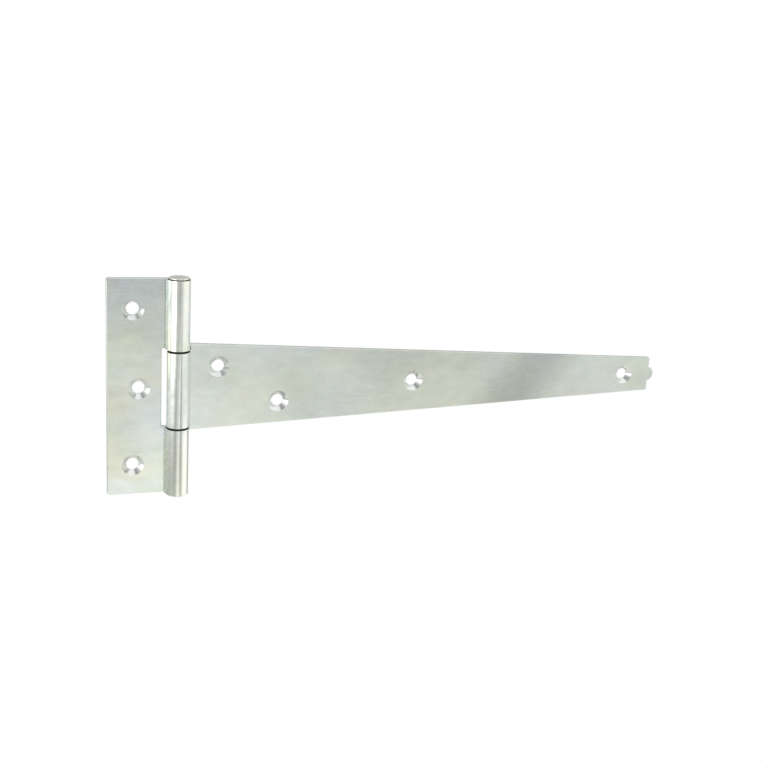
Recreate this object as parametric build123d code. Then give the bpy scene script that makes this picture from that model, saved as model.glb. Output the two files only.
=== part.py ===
from build123d import *
import os

# Tee hinge for a shed door or a gate: two leaves pressed from steel strip, whose edges are rolled
# into knuckles round one pin. Millimetres.
# +Z runs up the pin and +X runs along the strap to its tip. The backs of both leaves, which lie on
# the post and on the door, are in the plane Y = 0, and the barrel stands proud of them towards -Y.
# The origin is in that plane, behind the middle of the pin.

# Strip and pin
sheet = 2.5                 # thickness of the strip, both leaves
pin_diameter = 5.0
pin_clearance = 0.05        # radial, between the pin and every knuckle
seam_gap = 0.25             # between the end of each curl and the face of its own leaf
unrolled_angle = 15.0       # the roll stops this far short of level, and the strip's end stays straight
die_roll = 0.35             # rounded edge that the punch leaves on the front of each blank
burr_break = 0.15           # bevel where the burr was taken off the back of each blank

# Cross flap, fixed to the post
flap_height = 100.0
flap_reach = 31.0           # pin axis to outer edge
flap_corner = 1.2
cutout_reach = 7.0          # pin axis to the bottom of the cut-out for the strap's knuckle
cutout_corner = 0.8
end_screw_reach = 19.6      # pin axis to the top and bottom screw holes
middle_screw_reach = 17.0   # pin axis to the middle screw hole
end_screw_margin = 13.8     # top edge to the top hole, and bottom edge to the bottom hole

# Strap, fixed to the door
strap_reach = 250.0         # pin axis to the tip
root_width = 40.5
tip_width = 17.5
knuckle_length = 35.0
knuckle_gap = 0.8           # end play between the strap's knuckle and each of the flap's
shoulder_clearance = 0.6    # between the barrel and the shoulders beside the knuckle
shoulder_corner = 0.8
root_relief = 0.5           # inside corner between knuckle and shoulder
tip_corner = 0.8
nib_length = 3.0            # small rounded nib that finishes the tip
nib_width = 7.0
nib_relief = 0.8
first_screw_reach = 18.7    # pin axis to each of the four screw holes
second_screw_reach = 47.0
third_screw_reach = 114.0
fourth_screw_reach = 232.0
stagger_margin = 10.3       # first two holes, from the sloping edges above and below them

# Screw holes, countersunk in the front faces
screw_hole = 5.6
countersink = 9.8
countersink_angle = 90.0

# Pin ends
head_diameter = 9.0
head_height = 1.6
head_side = 1.0             # side of the head, under its dome
head_round = 0.45           # rolled rim above and below the side
peen_diameter = 6.2         # lower end, hammered over
peen_height = 0.5

bore_radius = pin_diameter / 2 + pin_clearance
barrel_radius = bore_radius + sheet
shoulder_reach = barrel_radius + shoulder_clearance
tip_line = strap_reach - nib_length
knuckle_half = knuckle_length / 2
flap_half = flap_height / 2
cutout_half = knuckle_half + knuckle_gap
same_place = 1e-4           # points nearer than this are taken as one


def strap_half_width(reach):
    """Half the strap's width at a distance from the pin axis: it tapers evenly to the tip line."""
    share = (reach - shoulder_reach) / (tip_line - shoulder_reach)
    return (root_width + (tip_width - root_width) * share) / 2


def curl(low, high):
    """Knuckle of a leaf that comes from +X: the strip leaves the back plane on a tangent, passes
    round the pin and over the front, and its straight end stops just short of its own leaf."""
    centre = (0, -barrel_radius)
    start_angle = 90
    level_turn = 270
    turn = level_turn - unrolled_angle
    with BuildPart() as knuckle:
        with BuildSketch(Plane.XY.offset(low)):
            with BuildLine():
                outside = CenterArc(centre, barrel_radius, start_angle, turn)
                inside = CenterArc(centre, bore_radius, start_angle, turn)
                heading = inside % 1
                straight = heading * ((-sheet - seam_gap - (inside @ 1).Y) / heading.Y)
                Line(outside @ 0, inside @ 0)
                Polyline(inside @ 1, inside @ 1 + straight, outside @ 1 + straight, outside @ 1)
            make_face()
        extrude(amount=high - low)
    return knuckle.part


def plate(outline):
    """Flat leaf: its outline, drawn in X and Z on the back plane, thickened towards the front."""
    return extrude(Plane.XZ * outline, sheet)


def rim(leaf, level, wall):
    """Edges of one face of a blank, along the flat at this level of Y and round the curl at this
    radius from the pin axis, without the line where the flat meets the curl."""
    def in_rim(edge):
        points = [edge @ share for share in (0, 0.5, 1)]
        on_flat = all(abs(p.Y - level) < same_place for p in points)
        off_axis = [Vector(p.X, p.Y + barrel_radius).length for p in points]
        on_curl = all(abs(distance - wall) < same_place for distance in off_axis)
        upright = abs(points[0].Z - points[2].Z) > same_place
        meeting = upright and all(abs(p.X) < same_place for p in points)
        return (on_flat and not meeting) or (on_curl and not upright)

    return leaf.edges().filter_by(in_rim)


def finish_edges(leaf):
    """The front of a blank has die-rolled edges, and the burr on its back is broken. The front
    becomes the inside of the curl, and the back becomes the outside of the barrel."""
    leaf = fillet(rim(leaf, -sheet, bore_radius), die_roll)
    return chamfer(rim(leaf, 0, barrel_radius), burr_break)


def screw_cutter(reach, height):
    """Clearance hole and countersink for one screw, from the back plane to the front face."""
    hole = Cylinder(screw_hole / 2, 3 * sheet)
    sink = CounterSinkHole(screw_hole / 2, countersink / 2, 2 * sheet, countersink_angle)
    return Plane((reach, -sheet, height), x_dir=(1, 0, 0), z_dir=(0, -1, 0)) * (hole + sink)


def make_strap():
    """Tapered leaf with the middle knuckle and a nib at its tip."""
    with BuildSketch() as outline:
        with BuildLine():
            Polyline(
                (tip_line, nib_width / 2), (tip_line, tip_width / 2),
                (shoulder_reach, root_width / 2), (shoulder_reach, knuckle_half),
                (0, knuckle_half), (0, -knuckle_half),
                (shoulder_reach, -knuckle_half), (shoulder_reach, -root_width / 2),
                (tip_line, -tip_width / 2), (tip_line, -nib_width / 2),
            )
            ThreePointArc((tip_line, -nib_width / 2), (strap_reach, 0), (tip_line, nib_width / 2))
        make_face()
        corners = outline.vertices()
        tip = corners.filter_by(lambda v: abs(v.X - tip_line) < same_place)
        root = corners.filter_by(lambda v: abs(v.X - shoulder_reach) < same_place)
        fillet(tip.filter_by(lambda v: abs(v.Y) > nib_width / 2 + same_place), tip_corner)
        fillet(tip.filter_by(lambda v: abs(v.Y) < nib_width / 2 + same_place), nib_relief)
        fillet(root.filter_by(lambda v: abs(v.Y) > knuckle_half + same_place), shoulder_corner)
        fillet(root.filter_by(lambda v: abs(v.Y) < knuckle_half + same_place), root_relief)
    leaf = finish_edges(plate(outline.sketch) + curl(-knuckle_half, knuckle_half))
    upper = strap_half_width(first_screw_reach) - stagger_margin
    lower = strap_half_width(second_screw_reach) - stagger_margin
    leaf -= screw_cutter(first_screw_reach, upper)
    leaf -= screw_cutter(second_screw_reach, -lower)
    leaf -= screw_cutter(third_screw_reach, 0)
    leaf -= screw_cutter(fourth_screw_reach, 0)
    return leaf


def make_cross_flap():
    """Upright leaf with a knuckle above and below its cut-out. It is drawn towards +X, as the
    strap is, and turned over to the other side of the pin at the end."""
    with BuildSketch() as outline:
        with Locations((flap_reach / 2, 0)):
            Rectangle(flap_reach, flap_height)
        with Locations((cutout_reach / 2, 0)):
            Rectangle(cutout_reach, 2 * cutout_half, mode=Mode.SUBTRACT)
        corners = outline.vertices()
        fillet(corners.filter_by(lambda v: abs(v.X - flap_reach) < same_place), flap_corner)
        fillet(corners.filter_by(lambda v: abs(v.X - cutout_reach) < same_place), cutout_corner)
    knuckles = curl(cutout_half, flap_half) + curl(-flap_half, -cutout_half)
    leaf = finish_edges(plate(outline.sketch) + knuckles)
    end_screw_height = flap_half - end_screw_margin
    leaf -= screw_cutter(end_screw_reach, end_screw_height)
    leaf -= screw_cutter(middle_screw_reach, 0)
    leaf -= screw_cutter(end_screw_reach, -end_screw_height)
    return mirror(leaf, about=Plane.YZ)


def dome_radius(half_width, rise):
    """Radius of the arc that rises so far over a round end of this half-width."""
    return (half_width ** 2 + rise ** 2) / (2 * rise)


def make_pin():
    """Pin through all three knuckles, with a low domed head on top and a hammered lower end."""
    shank = pin_diameter / 2
    head = head_diameter / 2
    peen = peen_diameter / 2
    head_top = (0, flap_half + head_height)
    head_rim = (head, flap_half + head_side)
    peen_rim = (peen, -flap_half)
    peen_bottom = (0, -flap_half - peen_height)
    with BuildPart() as pin:
        with BuildSketch(Plane.XZ) as half_section:
            with BuildLine():
                Line(peen_bottom, head_top)
                RadiusArc(head_top, head_rim, dome_radius(head, head_height - head_side))
                Polyline(head_rim, (head, flap_half), (shank, flap_half), (shank, -flap_half), peen_rim)
                RadiusArc(peen_rim, peen_bottom, dome_radius(peen, peen_height))
            make_face()
            fillet(half_section.vertices().filter_by(lambda v: v.X > head - same_place), head_round)
        revolve(axis=Axis.Z)
    return Pos(0, -barrel_radius, 0) * pin.part


os.makedirs("parts", exist_ok=True)
export_step(make_cross_flap(), "parts/cross_flap.step")
export_step(make_strap(), "parts/strap.step")
export_step(make_pin(), "parts/pin.step")
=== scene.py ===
"""Looks of a tee hinge: bright zinc-plated pressed steel, in soft studio light on a pale floor.

Everything is in metres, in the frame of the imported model: +Z runs up the pin, +X runs along the
strap, the barrel stands proud towards -Y, and the backs of both leaves are in the plane Y = 0.
"""
import math

import bpy
from mathutils import Matrix, Vector


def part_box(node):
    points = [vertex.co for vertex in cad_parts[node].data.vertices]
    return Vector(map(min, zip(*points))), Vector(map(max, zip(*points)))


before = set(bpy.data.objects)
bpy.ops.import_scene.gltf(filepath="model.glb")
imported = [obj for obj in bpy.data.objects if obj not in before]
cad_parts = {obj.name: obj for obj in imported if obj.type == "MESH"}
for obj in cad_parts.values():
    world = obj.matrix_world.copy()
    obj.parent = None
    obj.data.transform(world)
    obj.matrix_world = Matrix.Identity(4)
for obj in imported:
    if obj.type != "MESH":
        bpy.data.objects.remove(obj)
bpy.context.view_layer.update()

# Places, read from the model
strap_low, strap_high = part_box("strap")
BARREL_RADIUS = -strap_low.x                    # outside of the knuckles
KNUCKLE_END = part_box("cross_flap")[1].z         # top of the upper knuckle, under the pin's head
PIN_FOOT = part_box("pin")[0].z                   # bottom of the pin

# Camera: to the left of the hinge, a little above it, and turned a little about its own axis
CAMERA_AZIMUTH = math.radians(-19.98)
CAMERA_ELEVATION = math.radians(15.48)
CAMERA_ROLL = math.radians(3.80)
CAMERA_DISTANCE = 0.5092
CAMERA_LENS = 49.65
CAMERA_TARGET = Vector((0.09825, -BARREL_RADIUS, -0.00054))


# ---------------------------------------------------------------- node helpers

def empty_tree(owner):
    """Node tree of a new material or world, with nothing in it."""
    owner.use_nodes = True
    owner.node_tree.nodes.clear()
    return owner.node_tree


def add(tree, kind, inputs=None, **settings):
    """One shader node. inputs holds a value, or the socket that feeds it, for each input."""
    node = tree.nodes.new("ShaderNode" + kind)
    for name, value in settings.items():
        setattr(node, name, value)
    for name, value in (inputs or {}).items():
        if isinstance(value, bpy.types.NodeSocket):
            tree.links.new(value, node.inputs[name])
        else:
            node.inputs[name].default_value = value
    return node


def maths(tree, operation, first, second=0.0):
    """Result of one arithmetic operation."""
    return add(tree, "Math", {0: first, 1: second}, operation=operation).outputs[0]


def product(tree, first, *others):
    """All of the values multiplied together."""
    for other in others:
        first = maths(tree, "MULTIPLY", first, other)
    return first


def spread(tree, value, low, high, to_low=0.0, to_high=1.0):
    """Value moved smoothly from one range to another, and held at its ends."""
    inputs = {"Value": value, "From Min": low, "From Max": high, "To Min": to_low, "To Max": to_high}
    return add(tree, "MapRange", inputs, interpolation_type="SMOOTHSTEP").outputs[0]


def blend_values(tree, share, first, second):
    """First value where the share is 0, second where it is 1."""
    return add(tree, "Mix", {0: share, 2: first, 3: second}, data_type="FLOAT").outputs[0]


def blend_colours(tree, share, first, second, blend_type="MIX"):
    """First colour where the share is 0, second where it is 1."""
    node = add(tree, "Mix", {0: share, 6: first, 7: second}, data_type="RGBA", blend_type=blend_type)
    return node.outputs[2]


def cloud(tree, place, size, detail, stretch, shift):
    """Soft noise from 0 to 1, with patches of this size in metres, drawn out by the stretch."""
    scale = [1 / (size * axis) for axis in stretch]
    moved = add(tree, "Mapping", {"Vector": place, "Location": shift, "Scale": scale})
    inputs = {"Vector": moved.outputs[0], "Scale": 1.0, "Detail": detail, "Roughness": 0.55}
    return add(tree, "TexNoise", inputs).outputs["Fac"]


def ramp(tree, value, stops):
    """Number read off a smooth curve, given as (place, level) stops."""
    node = add(tree, "ValToRGB", {"Fac": value})
    elements = node.color_ramp.elements
    node.color_ramp.interpolation = "EASE"
    while len(elements) < len(stops):
        elements.new(0.5)
    for element, (place, level) in zip(elements, stops):
        element.position = place
        element.color = (level, level, level, 1)
    return node.outputs[0]


# ---------------------------------------------------------------- zinc plate

# Colours of the plate
COOL = (0.745, 0.805, 0.83, 1)      # bluish patches in the passivation film
GREEN = (0.74, 0.815, 0.675, 1)
WARM = (0.82, 0.825, 0.68, 1)       # straw patches
CLEAR = (0.775, 0.82, 0.755, 1)     # zinc where the film has no colour
STRAW = (0.835, 0.83, 0.75, 1)      # the curls, where the film lies thicker
BRIGHT = (0.87, 0.88, 0.865, 1)     # the countersinks, burnished by the tool before plating
PAINTED_GAP_SHADE = (0.055, 0.06, 0.05, 1)      # painted shade: near black in the gaps between the knuckles and at both ends of the pin

STRAW_SHARE = 0.4                   # of the curls' colour, where the film is fully tinted
BRIGHT_SHARE = 0.8                  # of the countersinks' colour
DRAIN = 1.6                         # shift of the film's tint towards green, per metre down

# Sizes of the patches and lines
WIDE_TINTS = 0.055                  # patches of colour in the film
MIDDLE_TINTS = 0.024
SMALL_TINTS = 0.009
DULL_PATCHES = 0.042                # patches that mirror a little less
MOTTLE = 0.0042                     # crystals of the plating
GRAIN = 0.0008                      # grain of the steel under it
WAVES = 0.016                       # the strip is never quite flat
ROLLING_LINES = 0.0007              # from the mill's rolls
DIE_LINES = 0.0011                  # from the die that rolled the curls

# Relief
RELIEF = 0.00018                    # depth of waves and lines together
WAVE_SHARE = 0.7                    # of that depth
LINE_SHARE = 0.0038

# Roughness
SATIN = (0.24, 0.31)                # flats
SATIN_GRAIN = (-0.02, 0.04)         # change that the grain makes to it
SMOOTH = 0.14                       # curls and countersinks
SHEARED = 0.40                      # cut edges and the walls of the holes
# roughness in the gaps between the knuckles and at the barrel's ends, where shade is painted
GAP_ROUGHNESS = 0.55

# Limits of the barrel and of the painted shade in its gaps and at its ends
BARREL_FADE = (1.12, 1.02)          # shares of the barrel's radius between which its finish fades in
JOINT_FACES = 0.030                 # the knuckles' inner end faces all lie nearer than this to Z = 0
GAP_SHADE_LINE = 0.0001                # width of the darkest part of the painted shade line at each end of the barrel
GAP_SHADE_SHARE = 0.9                  # how far the painted shade darkens the plate there

# One larger cloudy patch across the strap
CLOUDY_PLACE = 0.70 * strap_high.x  # distance of its middle from the pin
CLOUDY_LEAN = 0.8                   # it leans this far along X for each metre up
CLOUDY_HALF = (0.003, 0.028)        # half widths of its darkest part and of the whole patch
CLOUDY_SHADE = 0.76                 # what it mirrors, as a share of the skin beside it

# Most of a cloud's noise lies between 0.3 and 0.7. In the functions below, the first two numbers
# after a cloud are the stretch of it over which one look gives way to the next.


def find_regions(tree, place, normal):
    """Where a point is on its piece, as shares from 0 to 1: on the barrel, on an edge or in a hole cut
    through the sheet, in a countersink, and where shade is painted in the gaps between the knuckles and
    at both ends of the barrel."""
    x, y, z = add(tree, "SeparateXYZ", {0: place}).outputs
    _, out, along = add(tree, "SeparateXYZ", {0: normal}).outputs

    y_off_axis = maths(tree, "ADD", y, BARREL_RADIUS)
    squares = maths(tree, "ADD", product(tree, x, x), product(tree, y_off_axis, y_off_axis))
    off_axis = maths(tree, "SQRT", squares)
    fade_from, fade_to = BARREL_FADE
    barrel = spread(tree, off_axis, BARREL_RADIUS * fade_from, BARREL_RADIUS * fade_to)
    leaf = maths(tree, "SUBTRACT", 1.0, barrel)

    facing = maths(tree, "ABSOLUTE", out)       # 1 on a flat face, 0.7 in a countersink, 0 on an edge
    cut = product(tree, spread(tree, facing, 0.35, 0.15), leaf)
    sunk = product(tree, spread(tree, facing, 0.85, 0.74), spread(tree, facing, 0.5, 0.68), leaf)

    height = maths(tree, "ABSOLUTE", z)
    level = spread(tree, maths(tree, "ABSOLUTE", along), 0.5, 0.9)
    # painted shade: the knuckles' inner end faces, and a thin line at each end of the barrel, which the
    # tint turns near black
    joint = product(tree, level, barrel, spread(tree, height, JOINT_FACES * 1.1, JOINT_FACES))
    line_low = spread(tree, height, KNUCKLE_END - GAP_SHADE_LINE, KNUCKLE_END)
    line_high = spread(tree, height, KNUCKLE_END + 3 * GAP_SHADE_LINE, KNUCKLE_END + GAP_SHADE_LINE)
    end_line = product(tree, line_low, line_high, barrel, GAP_SHADE_SHARE)
    gap_shade = maths(tree, "MAXIMUM", joint, end_line)
    return {"barrel": barrel, "cut": cut, "sunk": sunk, "gap_shade": gap_shade}


def find_tint(tree, place, regions, wide, shift, film):
    """Colour of the plate, with painted shade in the gaps between the knuckles and at both ends of the
    barrel. The film runs from 0, clear, to 1, tinted in patches of blue, green and straw, and it drained
    to the lower end before it set."""
    a, b, c = shift
    middle = cloud(tree, place, MIDDLE_TINTS, 3, (1.2, 1, 1), (b, c, a))
    small = cloud(tree, place, SMALL_TINTS, 3, (1.2, 1, 1), (c, a, b))
    z = add(tree, "SeparateXYZ", {0: place}).outputs["Z"]
    drained = maths(tree, "SUBTRACT", wide, product(tree, z, DRAIN))
    tint = blend_colours(tree, spread(tree, drained, 0.38, 0.60), COOL, GREEN)
    tint = blend_colours(tree, spread(tree, middle, 0.42, 0.74), tint, WARM)
    tint = blend_colours(tree, spread(tree, small, 0.30, 0.85, 0.10, 0.60), tint, CLEAR)
    tint = blend_colours(tree, film, CLEAR, tint)
    tint = blend_colours(tree, product(tree, regions["barrel"], STRAW_SHARE * film), tint, STRAW)
    tint = blend_colours(tree, product(tree, regions["sunk"], BRIGHT_SHARE), tint, BRIGHT)
    # painted shade in the gaps between the knuckles and at both ends of the barrel
    return blend_colours(tree, regions["gap_shade"], tint, PAINTED_GAP_SHADE)


def find_shade(tree, place, grain, shift, cloudy_at):
    """Share of the light that the skin mirrors, a little less in dull patches and much less in the
    cloudy patch, if the leaf has one at a distance along X."""
    a, b, c = shift
    dull = cloud(tree, place, DULL_PATCHES, 2, (1.4, 1, 0.9), (c, b, a))
    mottle = cloud(tree, place, MOTTLE, 4, (1.5, 1, 1), shift)
    shade = product(tree, spread(tree, dull, 0.34, 0.56, 0.93, 1.03),
                    spread(tree, mottle, 0.3, 0.7, 0.965, 1.025),
                    spread(tree, grain, 0.25, 0.8, 0.99, 1.007))
    if cloudy_at is None:
        return shade
    x, _, z = add(tree, "SeparateXYZ", {0: place}).outputs
    aslant = maths(tree, "SUBTRACT", x, product(tree, z, CLOUDY_LEAN))
    away = maths(tree, "ABSOLUTE", maths(tree, "SUBTRACT", aslant, cloudy_at))
    return product(tree, shade, spread(tree, away, *CLOUDY_HALF, CLOUDY_SHADE, 1.0))


def find_roughness(tree, regions, wide, grain):
    """Satin flats, smoother curls and countersinks, dull sheared edges, and duller still in the gaps
    where shade is painted.
    """
    satin = spread(tree, wide, 0.3, 0.7, *SATIN)
    satin = maths(tree, "ADD", satin, spread(tree, grain, 0.3, 0.8, *SATIN_GRAIN))
    rough = blend_values(tree, regions["barrel"], satin, SMOOTH)
    rough = blend_values(tree, regions["sunk"], rough, SMOOTH)
    rough = blend_values(tree, regions["cut"], rough, SHEARED)
    return blend_values(tree, regions["gap_shade"], rough, GAP_ROUGHNESS)


def make_relief(tree, place, regions, shift):
    """Long waves in the strip, rolling lines along X, and lines drawn up the curls by the die."""
    waves = cloud(tree, place, WAVES, 2, (1.6, 1, 1), shift)
    rolled = cloud(tree, place, ROLLING_LINES, 3, (14, 1, 1), shift)
    drawn = cloud(tree, place, DIE_LINES, 2, (1, 1, 40), shift)
    lines = blend_values(tree, regions["barrel"], rolled, drawn)
    height = maths(tree, "ADD", product(tree, waves, WAVE_SHARE), product(tree, lines, LINE_SHARE))
    return add(tree, "Bump", {"Strength": 1.0, "Distance": RELIEF, "Height": height}).outputs[0]


def zinc(name, seed, film=1.0, cloudy_at=None):
    """Zinc plate with a clear passivation film. Each seed gives another pattern of patches."""
    material = bpy.data.materials.new(name)
    tree = empty_tree(material)
    coordinates = add(tree, "TexCoord").outputs         # they turn with the piece
    place = coordinates["Object"]
    regions = find_regions(tree, place, coordinates["Normal"])
    shift = (seed * 1.7, seed * 0.9, seed * 2.3)
    wide = cloud(tree, place, WIDE_TINTS, 3, (1.3, 1, 1), shift)
    grain = cloud(tree, place, GRAIN, 2, (6, 1, 1), shift)

    tint = find_tint(tree, place, regions, wide, shift, film)
    shade = find_shade(tree, place, grain, shift, cloudy_at)
    grey = add(tree, "CombineColor", {0: shade, 1: shade, 2: shade}).outputs[0]
    metal = add(tree, "BsdfPrincipled", {
        "Base Color": blend_colours(tree, 1.0, tint, grey, "MULTIPLY"),
        "Roughness": find_roughness(tree, regions, wide, grain),
        "Normal": make_relief(tree, place, regions, shift),
        "Metallic": 1.0,
    })
    add(tree, "OutputMaterial", {"Surface": metal.outputs[0]})
    return material


# ---------------------------------------------------------------- light, floor and camera

# Brightness of the room by elevation, and then by azimuth from -Y towards +X, all in degrees: a
# window on the left, a darker stretch in front, a second window on the right, a lit table in front
# and below, and grey walls at the back.
ROOM = [
    (-90, [(-180, 0.80), (180, 0.80)]),
    (-50, [(-180, 0.55), (-110, 0.70), (-80, 0.90), (-40, 0.75), (40, 0.75), (90, 0.60), (180, 0.55)]),
    (-28, [(-180, 0.55), (-100, 0.60), (-55, 0.75), (-25, 1.15), (-5, 1.60), (22, 1.50), (50, 0.85),
           (90, 0.70), (180, 0.60)]),
    (-20, [(-180, 0.60), (-115, 0.50), (-85, 0.52), (-55, 0.48), (-30, 0.42), (-6, 0.88), (8, 1.02),
           (18, 0.42), (27, 0.45), (40, 0.85), (60, 1.45), (95, 1.45), (120, 0.60), (180, 0.65)]),
    (-16, [(-180, 0.65), (-125, 0.55), (-85, 1.25), (-62, 1.20), (-32, 0.46), (-5, 0.72), (4, 0.82),
           (12, 1.32), (21, 0.44), (29, 0.44), (37, 0.98), (52, 0.78), (90, 0.84), (120, 0.55),
           (180, 0.70)]),
    (-12, [(-180, 0.70), (-125, 0.55), (-92, 1.00), (-62, 2.90), (-42, 2.70), (-25, 0.72), (7, 0.53),
           (20, 0.84), (34, 1.10), (50, 1.30), (90, 1.20), (125, 0.75), (180, 0.72)]),
    (-5, [(-180, 0.70), (-125, 0.55), (-92, 0.90), (-62, 2.30), (-34, 0.42), (30, 0.38), (60, 1.00),
          (90, 1.20), (125, 0.60), (180, 0.70)]),
    (12, [(-180, 0.60), (-120, 0.60), (-75, 1.30), (-42, 0.45), (-15, 0.90), (20, 0.90), (50, 0.50),
          (80, 1.20), (120, 0.55), (180, 0.60)]),
    (35, [(-180, 0.60), (-120, 0.75), (-90, 0.90), (-45, 0.40), (-10, 0.90), (30, 0.90), (80, 1.10),
          (125, 0.65), (180, 0.60)]),
    (58, [(-180, 0.60), (-90, 0.50), (-40, 0.35), (5, 1.10), (60, 1.00), (120, 0.75), (180, 0.60)]),
    (80, [(-180, 0.95), (180, 0.95)]),
]
FROM_ABOVE = (0.985, 0.99, 1, 1)    # colour of the light
FROM_BELOW = (1, 0.99, 0.955, 1)
WHITE = (1, 1, 1, 1)

FLOOR_DROP = 0.25                   # the floor is this far under the hinge
FLOOR_HALF = 8.0


def direction_light():
    """Studio light that depends on direction alone. The camera itself sees plain white."""
    world = bpy.data.worlds.new("studio")
    bpy.context.scene.world = world
    tree = empty_tree(world)
    x, y, z = add(tree, "SeparateXYZ", {0: add(tree, "TexCoord").outputs["Generated"]}).outputs
    azimuth = maths(tree, "ARCTAN2", x, product(tree, y, -1.0))
    turn = add(tree, "MapRange", {"Value": azimuth, "From Min": -math.pi, "From Max": math.pi}).outputs[0]

    def all_round(stops):
        """Brightness all the way round, at one elevation."""
        return ramp(tree, turn, [((degrees + 180) / 360, brightness) for degrees, brightness in stops])

    level = all_round(ROOM[0][1])
    for (lower, _), (upper, stops) in zip(ROOM, ROOM[1:]):
        share = spread(tree, z, math.sin(math.radians(lower)), math.sin(math.radians(upper)))
        level = blend_values(tree, share, level, all_round(stops))
    seen = add(tree, "LightPath").outputs["Is Camera Ray"]
    level = blend_values(tree, seen, level, 1.0)
    colour = blend_colours(tree, spread(tree, z, -0.1, -0.5), FROM_ABOVE, FROM_BELOW)
    colour = blend_colours(tree, seen, colour, WHITE)
    glow = add(tree, "Background", {"Color": colour, "Strength": level})
    add(tree, "OutputWorld", {"Surface": glow.outputs[0]})


def make_floor():
    """Wide white floor under the hinge. It is bright enough to show no shadow, and reflections pass
    through it to the light of the world."""
    level = PIN_FOOT - FLOOR_DROP
    sides = [(-1, -1), (1, -1), (1, 1), (-1, 1)]
    corners = [(FLOOR_HALF * x, FLOOR_HALF * y, level) for x, y in sides]
    mesh = bpy.data.meshes.new("floor")
    mesh.from_pydata(corners, [], [(0, 1, 2, 3)])
    floor = bpy.data.objects.new("floor", mesh)
    bpy.context.scene.collection.objects.link(floor)
    floor.visible_glossy = False
    material = bpy.data.materials.new("floor_white")
    tree = empty_tree(material)
    glow = add(tree, "Emission", {"Color": WHITE, "Strength": 1.0})
    add(tree, "OutputMaterial", {"Surface": glow.outputs[0]})
    mesh.materials.append(material)


def make_camera():
    """Camera that looks straight at its target."""
    level_part = math.cos(CAMERA_ELEVATION)
    back = Vector((math.sin(CAMERA_AZIMUTH) * level_part, -math.cos(CAMERA_AZIMUTH) * level_part,
                   math.sin(CAMERA_ELEVATION)))
    right = (-back).cross(Vector((0, 0, 1))).normalized()
    up = back.cross(right)
    turned = Matrix((right, up, back)).transposed() @ Matrix.Rotation(CAMERA_ROLL, 3, "Z")
    data = bpy.data.cameras.new("camera")
    data.lens = CAMERA_LENS
    camera = bpy.data.objects.new("camera", data)
    bpy.context.scene.collection.objects.link(camera)
    camera.matrix_world = Matrix.Translation(CAMERA_TARGET + back * CAMERA_DISTANCE) @ turned.to_4x4()
    bpy.context.scene.camera = camera


def dress(node, material):
    """Gives a CAD piece its finish."""
    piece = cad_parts[node]
    piece.data.materials.clear()
    piece.data.materials.append(material)


dress("cross_flap", zinc("flap_zinc", seed=16))
dress("strap", zinc("strap_zinc", seed=26, film=0.6, cloudy_at=CLOUDY_PLACE))
dress("pin", zinc("pin_zinc", seed=3))
direction_light()
make_floor()
make_camera()
bpy.context.scene.view_settings.view_transform = "Standard"
